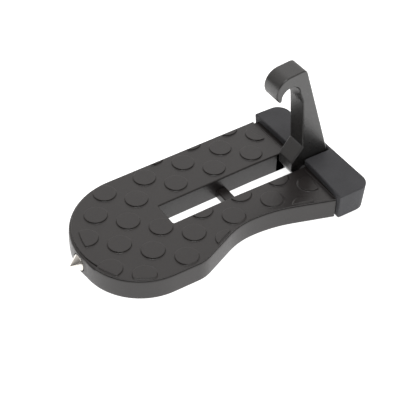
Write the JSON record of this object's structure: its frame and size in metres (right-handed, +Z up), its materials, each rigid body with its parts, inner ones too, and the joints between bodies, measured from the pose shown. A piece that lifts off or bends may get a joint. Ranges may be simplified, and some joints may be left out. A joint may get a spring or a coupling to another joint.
{
  "type": "folding door latch step",
  "caption": "Sole-shaped cast foot step with raised round treads, a fold-down hook arm for a vehicle's door latch, a rubber bumper and a pointed hammer tip.",
  "frame": {"origin": "middle of the footprint of the whole step, on the plane that the pedal's underside lies on", "axes": "+Z up, +Y from the nose to the rubber bumper that faces the vehicle, +X to the hollow side of the pedal"},
  "size_m": [0.0862, 0.1684, 0.08],
  "materials": {
    "cast_black": "satin black coating on die cast aluminium",
    "arm_black": "satin black coating on a cast aluminium arm",
    "pin_steel": "ground steel",
    "washer_plastic": "black nylon",
    "bumper_rubber": "moulded matt rubber",
    "screw_steel": "zinc plated steel",
    "tip_steel": "bright nickel plated steel"
  },
  "bodies": {
    "pedal": {"pedal_casting": "cast_black", "hinge_pin": "pin_steel", "friction_washers": "washer_plastic", "bumper_cap": "bumper_rubber", "bumper_screws": "screw_steel", "bumper_screw_washers": "screw_steel", "hammer_tip": "tip_steel", "tip_lock_nut": "screw_steel"},
    "hook": {"hook_arm": "arm_black"}
  },
  "joints": [
    {"name": "hook_fold", "type": "hinge", "parent": "pedal", "child": "hook", "pos_m": [-0.0004, 0.0658, 0.007], "axis": [1, 0, 0], "range_deg": [0, 85]}
  ]
}
